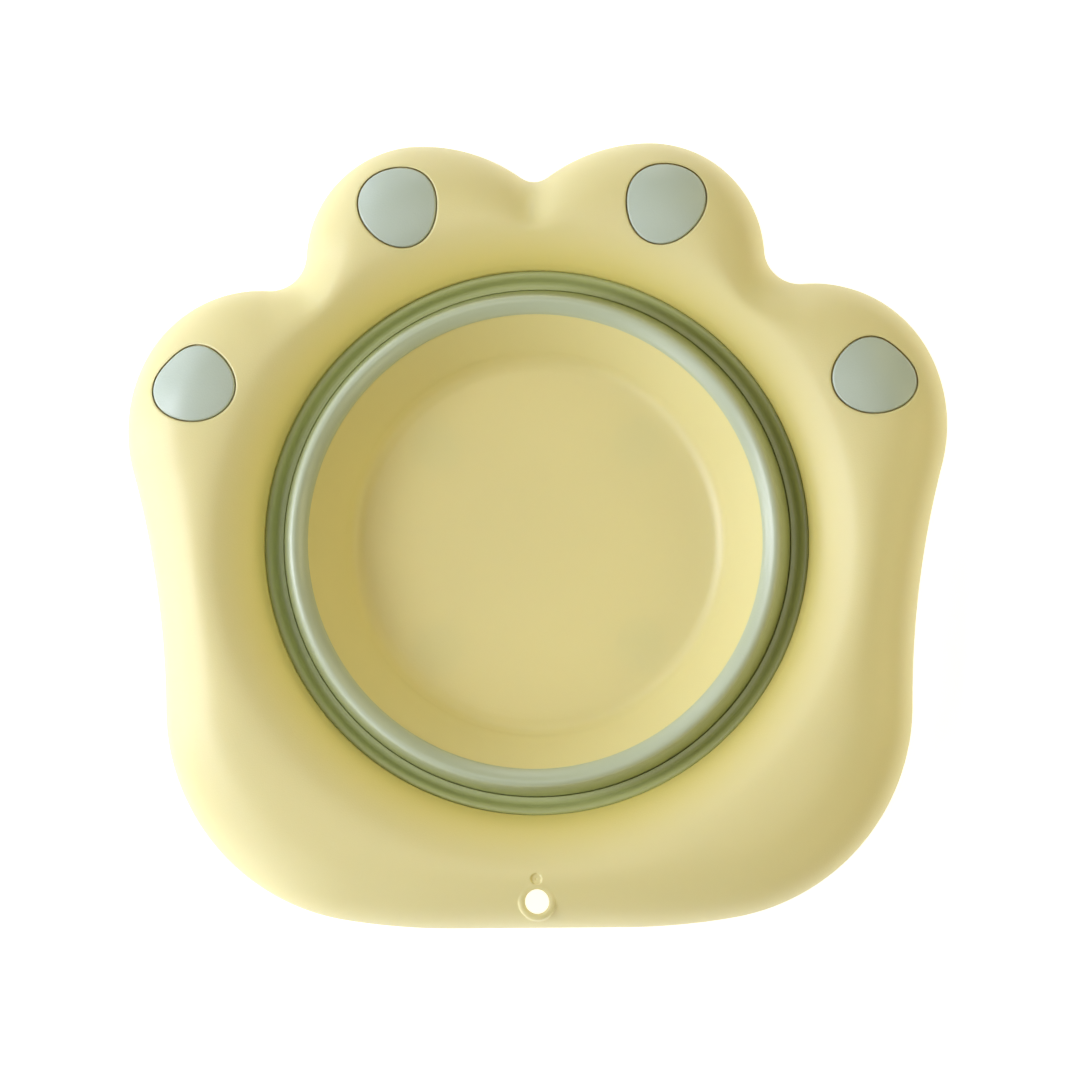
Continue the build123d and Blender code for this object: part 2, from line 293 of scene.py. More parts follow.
def revolve(name, profile, segs, closed=True, y0=0.0, x0=0.0):
    """Closed or open half section (radius, height) turned round an upright axis."""
    prof = np.array(profile, float)
    n = len(prof)
    a = np.linspace(0, 2 * math.pi, segs, endpoint=False)
    verts, faces, index = [], [], []
    for r, z in prof:
        if r < 1e-6:
            index.append([len(verts)] * segs)
            verts.append((x0, y0, z))
        else:
            base = len(verts)
            index.append(list(range(base, base + segs)))
            verts.extend(zip(x0 + r * np.cos(a), y0 + r * np.sin(a), [z] * segs))
    last = n if closed else n - 1
    for i in range(last):
        p, q = index[i], index[(i + 1) % n]
        for j in range(segs):
            k = (j + 1) % segs
            f = [p[j], p[k], q[k], q[j]]
            f2 = []
            for v in f:
                if v not in f2:
                    f2.append(v)
            if len(f2) > 2:
                faces.append(tuple(f2))
    ob = make_mesh(name, verts, faces)
    fix_normals(ob)
    return ob


def spline(points, closed, per=6):
    """Catmull-Rom through the points; a point given as (r, z, 'c') stays a corner."""
    pts = [np.array(p[:2], float) for p in points]
    hard = [len(p) > 2 for p in points]
    n = len(pts)
    out = []
    last = n if closed else n - 1
    for i in range(last):
        p1, p2 = pts[i], pts[(i + 1) % n]
        p0 = pts[i - 1] if (closed or i > 0) else 2 * p1 - p2
        p3 = pts[(i + 2) % n] if (closed or i + 2 < n) else 2 * p2 - p1
        if hard[i]:
            p0 = 2 * p1 - p2
        if hard[(i + 1) % n]:
            p3 = 2 * p2 - p1
        t0 = 0.0
        t1 = t0 + math.sqrt(np.linalg.norm(p1 - p0)) + 1e-9
        t2 = t1 + math.sqrt(np.linalg.norm(p2 - p1)) + 1e-9
        t3 = t2 + math.sqrt(np.linalg.norm(p3 - p2)) + 1e-9
        for k in range(per):
            t = t1 + (t2 - t1) * k / per
            a1 = (t1 - t) / (t1 - t0) * p0 + (t - t0) / (t1 - t0) * p1
            a2 = (t2 - t) / (t2 - t1) * p1 + (t - t1) / (t2 - t1) * p2
            a3 = (t3 - t) / (t3 - t2) * p2 + (t - t2) / (t3 - t2) * p3
            b1 = (t2 - t) / (t2 - t0) * a1 + (t - t0) / (t2 - t0) * a2
            b2 = (t3 - t) / (t3 - t1) * a2 + (t - t1) / (t3 - t1) * a3
            out.append((t2 - t) / (t2 - t1) * b1 + (t - t1) / (t2 - t1) * b2)
    if not closed:
        out.append(pts[-1])
    return [tuple(p) for p in out]


# ------------------------------------------------------------------ rim shell mesh
INSET = 0.05


def columns(step):
    """Outline points evenly spaced and set in a little, with their inward normals."""
    seg = np.roll(FINE, -1, 0) - FINE
    length = np.concatenate([[0], np.cumsum(np.linalg.norm(seg, axis=1))])
    n = int(length[-1] / step) // 2 * 2
    s = np.arange(n) * length[-1] / n
    closed = np.vstack([FINE, FINE[:1]])
    p = np.stack([np.interp(s, length, closed[:, k]) for k in (0, 1)], 1)
    e = 0.4
    a = np.stack([np.interp((s - e) % length[-1], length, closed[:, k]) for k in (0, 1)], 1)
    b = np.stack([np.interp((s + e) % length[-1], length, closed[:, k]) for k in (0, 1)], 1)
    t = b - a
    t /= np.linalg.norm(t, axis=1)[:, None]
    nrm = np.stack([-t[:, 1], t[:, 0]], 1)
    return p + nrm * INSET, nrm


def build_rim():
    step = 1.7
    P, N = columns(step)
    n = len(P)
    verts, faces = [], []

    def ring_rows(rows):
        """rows: list of (n,3) arrays of one column count; adds quads between them; returns vertex indexes."""
        idx = []
        for row in rows:
            idx.append(list(range(len(verts), len(verts) + len(row))))
            verts.extend([tuple(p) for p in row])
        for a, b in zip(idx[:-1], idx[1:]):
            m = len(a)
            for j in range(m):
                k = (j + 1) % m
                faces.append((a[j], a[k], b[k], b[j]))
        return idx

    # outer side, from the inner face of the skirt round its lower edge and up to the dome
    D0 = 2.2
    side = [(2.4, 30.0), (2.4, 22.0), (2.4, 12.0), (2.4, 4.2), (2.35, 3.1), (2.1, 2.65), (1.7, 2.5), (1.1, 2.5), (0.65, 2.75), (0.45, 3.4),
            (0.3, 6.0), (0.15, 10.0), (0.03, 15.0), (0.0, 19.0)]
    rows = []
    for d, z in side:
        q = P + N * d
        rows.append(np.column_stack([q, np.full(n, z)]))
    # dome rows, close together where it turns up from the side
    steps = 11
    for k in range(steps + 1):
        d = D0 * (k / steps) ** 2
        q = P + N * d
        z = rim_top(q[:, 0], q[:, 1], np.full(n, d))
        rows.append(np.column_stack([q, z]))
    side_idx = ring_rows(rows)
    outer_loop = side_idx[-1]

    # inside edge of the top surface
    m = 760
    ang = np.linspace(0, 2 * math.pi, m, endpoint=False)

    pts, edges, tags = [], [], []

    def loop_pts(xy):
        base = len(pts)
        k = len(xy)
        pts.extend([tuple(p) for p in xy])
        for i in range(k):
            edges.append((base + i, base + (i + 1) % k))
        return list(range(base, base + k))

    outer_ids = loop_pts((P + N * D0))
    ring_ids = loop_pts(np.stack([(RING_R + 0.6) * np.cos(ang), (RING_R + 0.6) * np.sin(ang)], 1))
    pad_ids = []
    for pad in PADS:
        k = 220
        t = np.linspace(0, 2 * math.pi, k, endpoint=False)
        x, y = pad["loop"](t, PAD_GAP)
        pad_ids.append(loop_pts(np.stack([x, y], 1)))
    k = 96
    t = np.linspace(0, 2 * math.pi, k, endpoint=False)
    hole_ids = loop_pts(np.stack([HOLE[0] + HOLE_R * np.cos(t), HOLE[1] + HOLE_R * np.sin(t)], 1))
    fixed = np.array(pts)

    # free points
    free = []

    def add_free(xy, clear):
        """Queues the points with their clearance; the thinning below keeps those inside the sheet and off the
        constraint loops.
        """
        xy = np.asarray(xy, float)
        if len(xy):
            free.append((xy, clear))

    # fine rings round pads, hole and dimple
    for pad in PADS:
        for g, cnt in ((0.92, 200), (1.2, 190), (1.6, 170), (2.2, 140), (3.1, 120)):
            t = np.linspace(0, 2 * math.pi, cnt, endpoint=False) + g
            x, y = pad["loop"](t, g)
            add_free(np.stack([x, y], 1), 0.15)
    for r, cnt in ((6.15, 90), (6.6, 90), (7.2, 80), (7.9, 80), (8.5, 90), (8.9, 90), (9.2, 96), (9.45, 96), (9.7, 96), (9.95, 96), (10.2, 96), (10.6, 90), (11.1, 80), (11.9, 70), (13.0, 60)):
        t = np.linspace(0, 2 * math.pi, cnt, endpoint=False) + r
        add_free(np.stack([HOLE[0] + r * np.cos(t), HOLE[1] + r * np.sin(t)], 1), 0.22)
    for r, cnt in ((0.01, 1), (0.35, 8), (0.7, 14), (1.1, 20), (1.6, 26), (2.05, 36), (2.3, 40), (2.55, 44), (2.8, 48), (3.05, 50), (3.4, 48), (4.0, 44)):
        t = np.linspace(0, 2 * math.pi, cnt, endpoint=False) + r
        add_free(np.stack([DIMPLE[0] + r * np.cos(t), DIMPLE[1] + r * np.sin(t)], 1), 0.12)

    # rows along the outline
    d = D0
    while d < 30:
        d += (0.8 + 0.05 * d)
        q = P + N * d
        add_free(q, 0.8)
    # rows round the opening
    r = RING_R + 0.6
    while r < RING_R + 26:
        r += 1.1
        cnt = int(2 * math.pi * r / (1.5))
        t = np.linspace(0, 2 * math.pi, cnt, endpoint=False) + 0.37 * r
        add_free(np.stack([r * np.cos(t), r * np.sin(t)], 1), 0.8)
    # the rest: triangular grid
    h = 1.9
    gx, gy = np.meshgrid(np.arange(-205, 205, h), np.arange(-195, 200, h * 0.866))
    gx = gx + (np.arange(gy.shape[0])[:, None] % 2) * h / 2
    add_free(np.stack([gx.ravel(), gy.ravel()], 1), 1.0)

    # greedy thinning on a hash grid, in the order given
    cell = 0.8
    taken = {}

    def put(p):
        taken.setdefault((int(p[0] // cell), int(p[1] // cell)), []).append(p)

    def near(p, c):
        i, j = int(p[0] // cell), int(p[1] // cell)
        w = int(math.ceil(c / cell))
        for a in range(i - w, i + w + 1):
            for b in range(j - w, j + w + 1):
                for q in taken.get((a, b), ()):
                    if (q[0] - p[0]) ** 2 + (q[1] - p[1]) ** 2 < c * c:
                        return True
        return False

    for p in fixed:
        put(p)
    keep = []
    for xy, clear in free:
        rr = np.hypot(xy[:, 0], xy[:, 1])
        ok = (rr > RING_R + 0.8) & (rr < 260)
        ok &= inside_outline(xy)
        do = edge_distance(xy)
        ok &= do > D0 + 0.25
        ok &= np.hypot(xy[:, 0] - HOLE[0], xy[:, 1] - HOLE[1]) > HOLE_R + 0.1
        for pad in PADS:
            ok &= pad_gap_distance(pad, xy[:, 0], xy[:, 1]) > 0.05
        for p in xy[ok]:
            if not near(p, clear):
                put(p)
                keep.append(p)
    allp = [Vector((float(p[0]), float(p[1]))) for p in list(fixed) + keep]
    ov, _, of, orig, _, _ = delaunay_2d_cdt(allp, edges, [], 0, 1e-6)
    ov = np.array([(v.x, v.y) for v in ov])
    tri = np.array([f for f in of if len(f) == 3])
    c = ov[tri].mean(1)
    ok = inside(c, fixed[outer_ids])
    for loop in [ring_ids, hole_ids] + pad_ids:
        ok &= ~inside(c, fixed[loop])
    tri = tri[ok]
    used = np.unique(tri)
    remap = -np.ones(len(ov), int)
    back = {}
    for k, o in enumerate(orig):
        for a in o:
            back[a] = k
    z = rim_top(ov[:, 0], ov[:, 1])
    # small rounding of the pocket edges
    for pad in PADS:
        g = pad_gap_distance(pad, ov[:, 0], ov[:, 1])
        z = z - 0.35 * (1 - smoothstep(0.0, 0.8, g)) ** 2 * (np.abs(g) < 3)
    ids = {}
    for k, a in enumerate(outer_ids):
        ids[back[a]] = outer_loop[k]
    for v in used:
        if v in ids:
            remap[v] = ids[v]
        else:
            remap[v] = len(verts)
            verts.append((ov[v, 0], ov[v, 1], z[v]))
    for f in tri:
        faces.append(tuple(int(remap[v]) for v in f))
    top_count = len(tri)

    # collar of the opening, under the slope
    top_ring = [int(remap[back[a]]) for a in ring_ids]
    ring_top_z = np.array([verts[i][2] for i in top_ring])
    rows = []
    for rr, dz in ((RING_R + 0.18, -0.45), (RING_R, -1.3), (RING_R, -6.0), (RING_R, None), (RING_R + 0.4, None), (RING_R + 2.0, None), (RING_R + 2.4, None), (RING_R + 2.4, None)):
        rows.append([rr, dz])
    zs = [None, None, None, 18.6, 18.1, 18.1, 18.6, 28.0]
    prev = top_ring
    for (rr, dz), zz in zip(rows, zs):
        cur = []
        for j in range(m):
            cur.append(len(verts))
            verts.append((rr * math.cos(ang[j]), rr * math.sin(ang[j]), ring_top_z[j] + dz if zz is None else zz))
        for j in range(m):
            k = (j + 1) % m
            faces.append((prev[j], prev[k], cur[k], cur[j]))
        prev = cur
    inner_top_ring = prev

    # pocket walls and floors
    for pad, pid in zip(PADS, pad_ids):
        top = [int(remap[back[a]]) for a in pid]
        cx, cy = pad["centre"]
        prev = top
        for sh, dz in ((0.0, -1.0), (0.0, -POCKET + 0.4), (0.12, -POCKET + 0.12), (0.4, -POCKET)):
            cur = []
            for j in top:
                x, y, zz = verts[j]
                L = math.hypot(x - cx, y - cy)
                cur.append(len(verts))
                verts.append((x + (cx - x) / L * sh, y + (cy - y) / L * sh, zz + dz))
            for j in range(len(top)):
                k = (j + 1) % len(top)
                faces.append((prev[j], prev[k], cur[k], cur[j]))
            prev = cur
        for fr in (0.8, 0.5, 0.2):
            cur = []
            for j in top:
                x, y, zz = verts[j]
                cur.append(len(verts))
                zc = float(np.mean([verts[q][2] for q in top]))
                verts.append((cx + (x - cx) * fr, cy + (y - cy) * fr, zc + (zz - zc) * fr - POCKET))
            for j in range(len(top)):
                k = (j + 1) % len(top)
                faces.append((prev[j], prev[k], cur[k], cur[j]))
            prev = cur
        verts.append((cx, cy, zc - POCKET))
        for j in range(len(top)):
            faces.append((prev[j], prev[(j + 1) % len(top)], len(verts) - 1))

    # wall of the hanging hole
    top = [int(remap[back[a]]) for a in hole_ids]
    prev = top
    kh = len(top)
    th = np.linspace(0, 2 * math.pi, kh, endpoint=False)
    tube = np.stack([HOLE[0] + 8.3 * np.cos(th), HOLE[1] + 8.3 * np.sin(th)], 1)
    tube_z = under_height(tube)
    hrows = [(HOLE_R - 0.0, None, -0.6), (HOLE_R, 38.6, 0), (HOLE_R + 0.3, 38.1, 0), (8.0, 38.1, 0), (8.3, 38.5, 0), (8.3, -1, 0)]
    for rr, zz, dz in hrows:
        cur = []
        for j in range(kh):
            cur.append(len(verts))
            zj = verts[top[j]][2] + dz if zz is None else (tube_z[j] if zz < 0 else zz)
            verts.append((HOLE[0] + rr * math.cos(th[j]), HOLE[1] + rr * math.sin(th[j]), zj))
        for j in range(kh):
            k = (j + 1) % kh
            faces.append((prev[j], prev[k], cur[k], cur[j]))
        prev = cur

    # underside of the shell: the same sheet let down by the wall, coarse
    build_under(side_idx[0], inner_top_ring, prev, tube, verts, faces, P + N * 2.4, m)
    ob = make_mesh("rim_visual", verts, faces)
    fix_normals(ob)
    sharpen(ob, 40)
    print("rim", len(verts), len(faces), "top", top_count)
    return ob


def inside(xy, poly):
    """Even-odd test of points against a closed loop."""
    x, y = xy[:, 0], xy[:, 1]
    hit = np.zeros(len(x), bool)
    a, b = poly, np.roll(poly, 1, 0)
    for (xi, yi), (xj, yj) in zip(a, b):
        if yi != yj:
            hit ^= ((yi > y) != (yj > y)) & (x < (xj - xi) * (y - yi) / (yj - yi) + xi)
    return hit


def inside_outline(xy):
    return inside(xy, outline(2.0))


def under_height(xy):
    """Height of the shell's inner face, with flat bosses behind the toe pads."""
    do = edge_distance(xy)
    di = np.hypot(xy[:, 0], xy[:, 1]) - RING_R
    zo = EDGE_Z + (outer_height(xy[:, 0], xy[:, 1], np.clip(do - 2.4, 0, None)) - EDGE_Z) * 0.91
    zi = inner_height(np.clip(di - 2.0, 0, None)) - 2.8
    z = smin(zo, zi, 3.0)
    for pad in PADS:
        z = z - 4.4 * (1 - smoothstep(1.0, 5.0, pad_gap_distance(pad, xy[:, 0], xy[:, 1])))
    return z


def build_under(skirt_idx, ring_idx, tube_idx, tube_xy, verts, faces, skirt_xy, m):
    """Sheet under the top, from the skirt's inner face to the collar's and the hole tube's outer faces."""
    ang = np.linspace(0, 2 * math.pi, m, endpoint=False)
    R = RING_R + 2.4
    loops = [(skirt_xy, skirt_idx), (np.stack([R * np.cos(ang), R * np.sin(ang)], 1), ring_idx), (tube_xy, tube_idx)]
    pts, edges, known = [], [], []
    for xy, idx in loops:
        b, n = len(pts), len(xy)
        pts += [tuple(p) for p in xy]
        edges += [(b + i, b + (i + 1) % n) for i in range(n)]
        known += list(idx)
    h = 4.0
    gx, gy = np.meshgrid(np.arange(-205, 205, h), np.arange(-195, 200, h * 0.866))
    gx = gx + (np.arange(gy.shape[0])[:, None] % 2) * h / 2
    g = np.stack([gx.ravel(), gy.ravel()], 1)
    ok = inside_outline(g) & (np.hypot(g[:, 0], g[:, 1]) > R + 2.0) & (np.hypot(g[:, 0] - HOLE[0], g[:, 1] - HOLE[1]) > 9.5)
    g = g[ok]
    g = g[edge_distance(g) > 4.5]
    allp = [Vector((float(p[0]), float(p[1]))) for p in pts] + [Vector((float(p[0]), float(p[1]))) for p in g]
    ov, _, of, orig, _, _ = delaunay_2d_cdt(allp, edges, [], 0, 1e-6)
    ov = np.array([(v.x, v.y) for v in ov])
    tri = np.array([f for f in of if len(f) == 3])
    c = ov[tri].mean(1)
    tri = tri[inside(c, loops[0][0]) & ~inside(c, loops[1][0]) & ~inside(c, loops[2][0])]
    back = {}
    for k, o in enumerate(orig):
        for a in o:
            back[a] = k
    z = under_height(ov)
    remap = {back[k]: known[k] for k in range(len(known))}
    for v in np.unique(tri):
        if v not in remap:
            remap[v] = len(verts)
            verts.append((ov[v, 0], ov[v, 1], z[v]))
    for f in tri:
        faces.append(tuple(int(remap[v]) for v in f))


rim = build_rim()


# ------------------------------------------------------------------ toe pads
def build_pad(pad):
    loop, (cx, cy) = pad["loop"], pad["centre"]
    k = 144
    t = np.linspace(0, 2 * math.pi, k, endpoint=False)
    verts, faces = [], []

    def row(g, dz):
        x, y = loop(t, g)
        z = rim_top(x, y) + dz
        base = len(verts)
        verts.extend(zip(x, y, z))
        return list(range(base, base + k))

    rows = [row(-0.25, -3.6), row(0, -3.2), row(0, -1.8), row(0, -1.0), row(-0.07, -0.67), row(-0.24, -0.41), row(-0.5, -0.22), row(-0.9, -0.07)]
    for fr in (0.93, 0.88, 0.82, 0.75, 0.68, 0.6, 0.52, 0.44, 0.36, 0.28, 0.2, 0.12, 0.05):
        r = pad["radius"](t) * fr
        x, y = cx + r * np.cos(t), cy + r * np.sin(t)
        z = rim_top(x, y) - 0.25 + PAD_CROWN * (1 - fr ** 2)
        base = len(verts)
        verts.extend(zip(x, y, z))
        rows.append(list(range(base, base + k)))
    for a, b in zip(rows[:-1], rows[1:]):
        for j in range(k):
            faces.append((a[j], a[(j + 1) % k], b[(j + 1) % k], b[j]))
    zc = float(rim_top(np.array([cx]), np.array([cy]))[0])
    verts.append((cx, cy, zc - 0.25 + PAD_CROWN))
    for j in range(k):
        faces.append((rows[-1][j], rows[-1][(j + 1) % k], len(verts) - 1))
    verts.append((cx, cy, zc - 3.6))
    for j in range(k):
        faces.append((rows[0][(j + 1) % k], rows[0][j], len(verts) - 1))
    ob = make_mesh(pad["name"] + "_visual", verts, faces)
    fix_normals(ob)
    return ob


PAD_CROWN = 1.5
pads = {p["name"]: build_pad(p) for p in PADS}


# ------------------------------------------------------------------ soft wall and pan
SEGS = 256
C = "c"
upper = revolve("wall_upper_visual", spline([
    (132.05, 27.4), (131.8, 28.0), (131.0, 28.35), (130.0, 28.3), (129.1, 27.8), (128.3, 26.8), (127.6, 25.4), (126.9, 24.1), (126.0, 23.5),
    (125.0, 23.3), (124.1, 23.35), (123.5, 23.3), (123.22, 22.9), (123.25, 22.2), (124.6, 21.4), (126.6, 20.2), (127.3, 17.0),
    (127.1, 11.0), (126.6, 7.0), (125.6, 5.0, C), (125.05, 4.4, C), (125.05, 2.85, C), (127.2, 3.5), (128.9, 6.2), (129.6, 11.0),
    (130.2, 18.0), (132.0, 19.6, C), (132.05, 24.0)], True, 4), SEGS)
fold = revolve("wall_fold_visual", spline([
    (124.98, 2.85, C), (124.98, 4.4, C), (123.7, 6.4), (123.1, 10.0), (122.5, 16.0), (122.25, 20.5), (122.45, 22.3), (122.86, 23.4), (122.84, 24.6),
    (122.3, 27.0), (121.5, 30.7), (120.6, 34.8), (119.8, 37.6), (119.1, 38.9), (118.3, 39.0), (118.0, 38.2), (118.7, 35.6), (119.5, 31.5), (120.4, 26.0),
    (120.9, 18.0), (121.5, 10.0), (122.0, 6.0), (122.9, 3.8)], True, 4), SEGS)
bead = revolve("pan_bead_visual", spline([
    (109.95, 39.1, C), (110.0, 40.0), (110.7, 41.3), (112.2, 42.8), (114.2, 44.2), (116.2, 44.95), (117.8, 44.6), (118.9, 43.4), (119.3, 41.9),
    (119.35, 40.6), (119.0, 39.7), (118.2, 39.45), (116.8, 39.45), (114.7, 39.4, C), (112.3, 39.1, C)], True, 4), SEGS)

pan_profile = [(0.0, 8.0, C), (60.0, 8.0), (80.0, 8.02)]
pan_in = spline([(82.0, 8.0), (86.0, 8.5), (89.5, 10.0), (92.3, 13.0), (94.2, 16.2), (98.0, 21.6), (104.0, 30.4), (109.9, 39.05, C)], False, 5)
pan_out = spline([(112.3, 39.1, C), (112.3, 41.0, C), (114.7, 41.0, C), (114.7, 38.0), (112.2, 34.0), (104.5, 23.8), (98.0, 14.2), (94.6, 9.6), (90.5, 6.6), (85.0, 5.45), (80.0, 5.4)], False, 4)
pan_profile = [(0.0, 8.0), (20, 8.0), (45.0, 8.0), (65.0, 8.0), (76.0, 8.0)] + pan_in + pan_out + [(60.0, 5.4), (30.0, 5.4), (0.0, 5.4)]
pan = revolve("basin_pan_visual", pan_profile, SEGS, closed=False)
sharpen(pan, 50)
sharpen(bead, 50)
sharpen(fold, 60)
sharpen(upper, 60)

# foot sockets under the pan
sockets = []
for i in range(4):
    a = math.radians(45 + 90 * i)
    s = revolve(f"foot_socket_{i}", spline([(10.1, 5.4, C), (10.1, 2.6), (10.4, 2.2), (11.9, 2.2), (12.2, 2.6), (12.4, 5.4, C)], True, 3), 72,
                closed=True, x0=70 * math.cos(a), y0=70 * math.sin(a))
    sockets.append(s)


# low stiffening ribs inside the rim, bedded in the shell
def build_ribs():
    verts, faces = [], []
    for deg in (-90, -62, -34, -6, 20, 48, 72, 90, 108, 132, 160, 186, 214, 242):
        a = math.radians(deg)
        r = np.arange(RING_R + 4, 190, 1.0)
        xy = np.stack([r * math.cos(a), r * math.sin(a)], 1)
        under = under_height(xy)
        top = np.minimum(under + 0.6, rim_top(xy[:, 0], xy[:, 1]) - 0.9)
        keep = inside(xy, FINE) & (edge_distance(xy) > 4.0) & (top > 39.5)
        if deg == -90:
            keep &= r < 162
        idx = np.nonzero(keep)[0]
        if len(idx) < 8:
            continue
        run = max(np.split(idx, np.nonzero(np.diff(idx) > 1)[0] + 1), key=len)
        if len(run) < 8:
            continue
        base = len(verts)
        nx, ny = -math.sin(a) * 0.9, math.cos(a) * 0.9
        for i in run:
            x, y = xy[i]
            for side, z in ((1, 39.0), (1, top[i]), (-1, top[i]), (-1, 39.0)):
                verts.append((x + side * nx, y + side * ny, z))
        for k in range(len(run) - 1):
            p = base + 4 * k
            for j in range(4):
                faces.append((p + j, p + 4 + j, p + 4 + (j + 1) % 4, p + (j + 1) % 4))
        faces.append((base, base + 1, base + 2, base + 3))
        e = base + 4 * (len(run) - 1)
        faces.append((e + 3, e + 2, e + 1, e))
    ob = make_mesh("rim_ribs", verts, faces)
    bm = bmesh.new()
    bm.from_mesh(ob.data)
    bmesh.ops.recalc_face_normals(bm, faces=bm.faces)
    bm.to_mesh(ob.data)
    bm.free()
    return ob


ribs = build_ribs()
sharpen(ribs, 40)


# ------------------------------------------------------------------ materials
def material(name, base, rough, bump, scale, vary=0.03, sss=0.0, spec=0.5, painted_shade=None, by="z", span=(0, 1)):
    """Moulded surface. The optional shade colour is painted shade: it takes over below span[0] of the height (by z) or
    of the distance to the axis (by r), standing in for the shade and yellow interreflection on low, enclosed parts.
    """
    mat = bpy.data.materials.new(name)
    mat.use_nodes = True
    nt = mat.node_tree
    nt.nodes.clear()
    out = nt.nodes.new("ShaderNodeOutputMaterial")
    b = nt.nodes.new("ShaderNodeBsdfPrincipled")
    nt.links.new(b.outputs[0], out.inputs[0])
    co = nt.nodes.new("ShaderNodeTexCoord")
    n1 = nt.nodes.new("ShaderNodeTexNoise")
    n1.inputs["Scale"].default_value = 9.0
    n1.inputs["Detail"].default_value = 4.0
    nt.links.new(co.outputs["Object"], n1.inputs["Vector"])
    ramp = nt.nodes.new("ShaderNodeValToRGB")
    c0 = [max(0, c * (1 - vary)) for c in base]
    c1 = [min(1, c * (1 + vary)) for c in base]
    ramp.color_ramp.elements[0].position = 0.3
    ramp.color_ramp.elements[0].color = (*c0, 1)
    ramp.color_ramp.elements[1].position = 0.7
    ramp.color_ramp.elements[1].color = (*c1, 1)
    nt.links.new(n1.outputs["Fac"], ramp.inputs[0])
    # painted shade: below the span the darker, more saturated colour replaces the base colour
    if painted_shade:
        sep = nt.nodes.new("ShaderNodeSeparateXYZ")
        nt.links.new(co.outputs["Object"], sep.inputs[0])
        if by == "z":
            value = sep.outputs["Z"]
        else:
            off = nt.nodes.new("ShaderNodeMath")
            off.operation = "SUBTRACT"
            off.inputs[1].default_value = RING_Y * MM
            nt.links.new(sep.outputs["Y"], off.inputs[0])
            both = nt.nodes.new("ShaderNodeCombineXYZ")
            nt.links.new(sep.outputs["X"], both.inputs["X"])
            nt.links.new(off.outputs[0], both.inputs["Y"])
            size = nt.nodes.new("ShaderNodeVectorMath")
            size.operation = "LENGTH"
            nt.links.new(both.outputs[0], size.inputs[0])
            value = size.outputs["Value"]
        step = nt.nodes.new("ShaderNodeMapRange")
        step.interpolation_type = "SMOOTHSTEP"
        step.inputs["From Min"].default_value = span[0]
        step.inputs["From Max"].default_value = span[1]
        nt.links.new(value, step.inputs["Value"])
        mix = nt.nodes.new("ShaderNodeMix")
        mix.data_type = "RGBA"
        mix.inputs[6].default_value = (*painted_shade, 1)
        nt.links.new(step.outputs["Result"], mix.inputs[0])
        nt.links.new(ramp.outputs[0], mix.inputs[7])
        nt.links.new(mix.outputs[2], b.inputs["Base Color"])
    else:
        nt.links.new(ramp.outputs[0], b.inputs["Base Color"])
    n2 = nt.nodes.new("ShaderNodeTexNoise")
    n2.inputs["Scale"].default_value = 60.0
    n2.inputs["Detail"].default_value = 3.0
    nt.links.new(co.outputs["Object"], n2.inputs["Vector"])
    mr = nt.nodes.new("ShaderNodeMapRange")
    mr.inputs["To Min"].default_value = rough - 0.05
    mr.inputs["To Max"].default_value = rough + 0.05
    nt.links.new(n2.outputs["Fac"], mr.inputs["Value"])
    nt.links.new(mr.outputs[0], b.inputs["Roughness"])
    n3 = nt.nodes.new("ShaderNodeTexNoise")
    n3.inputs["Scale"].default_value = scale
    n3.inputs["Detail"].default_value = 2.0
    nt.links.new(co.outputs["Object"], n3.inputs["Vector"])
    bp = nt.nodes.new("ShaderNodeBump")
    bp.inputs["Strength"].default_value = bump
    bp.inputs["Distance"].default_value = 0.0002
    nt.links.new(n3.outputs["Fac"], bp.inputs["Height"])
    nt.links.new(bp.outputs[0], b.inputs["Normal"])
    b.inputs["Specular IOR Level"].default_value = spec
    b.inputs["Subsurface Weight"].default_value = sss
    b.inputs["Subsurface Radius"].default_value = (1.0, 0.8, 0.4)
    b.inputs["Subsurface Scale"].default_value = 0.004
    return mat


def srgb(*c):
    return tuple((v / 255 / 12.92) if v / 255 <= 0.04045 else ((v / 255 + 0.055) / 1.055) ** 2.4 for v in c)


# painted shade: the rim's slope next to the opening blends to a darker, more saturated yellow, standing in for the
# shade and interreflection there
YELLOW = material("rim_plastic", (0.87, 0.775, 0.375), 0.45, 0.25, 1400, 0.015, sss=0.15, spec=0.75,
                  painted_shade=(0.86, 0.74, 0.24), by="r", span=(0.134, 0.158))
PAN_YELLOW = material("pan_plastic", (0.85, 0.755, 0.34), 0.42, 0.25, 1400, 0.015, sss=0.15, spec=0.8)
# painted shade: the soft wall's low parts, groove and lip, blend to a darker, more saturated green, standing in for
# the shade there; the bead on top keeps the paler base
SAGE = material("wall_soft", (0.555, 0.61, 0.425), 0.33, 0.3, 1100, 0.03, sss=0.1, spec=0.8,
                painted_shade=(0.50, 0.54, 0.24), by="z", span=(0.027, 0.041))
PAD_SAGE = material("pad_soft", (0.555, 0.63, 0.53), 0.38, 0.3, 1100, 0.03, sss=0.1, spec=0.6)
FOOT = material("foot_soft", srgb(165, 173, 137), 0.55, 0.3, 1100, 0.03)


def dress(ob, mat, body=None, nodes=()):
    ob.data.materials.clear()
    ob.data.materials.append(mat)
    if body:
        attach(ob, body)
    if nodes:
        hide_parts(*nodes)


dress(rim, YELLOW, "rim", ["rim_shell"])
dress(ribs, YELLOW, "rim")
for name, ob in pads.items():
    dress(ob, PAD_SAGE, "rim", [name])
dress(upper, SAGE, "rim", ["wall_upper_band"])
dress(fold, SAGE, None, ["wall_fold_band"])
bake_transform(fold)
dress(bead, SAGE, "pan", ["pan_rim_bead"])
dress(pan, PAN_YELLOW, "pan", ["basin_pan"])
for s in sockets:
    dress(s, PAN_YELLOW, "pan")
for n in ("foot_rear_right", "foot_rear_left", "foot_front_left", "foot_front_right"):
    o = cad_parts[n]
    o.data.materials.clear()
    o.data.materials.append(FOOT)


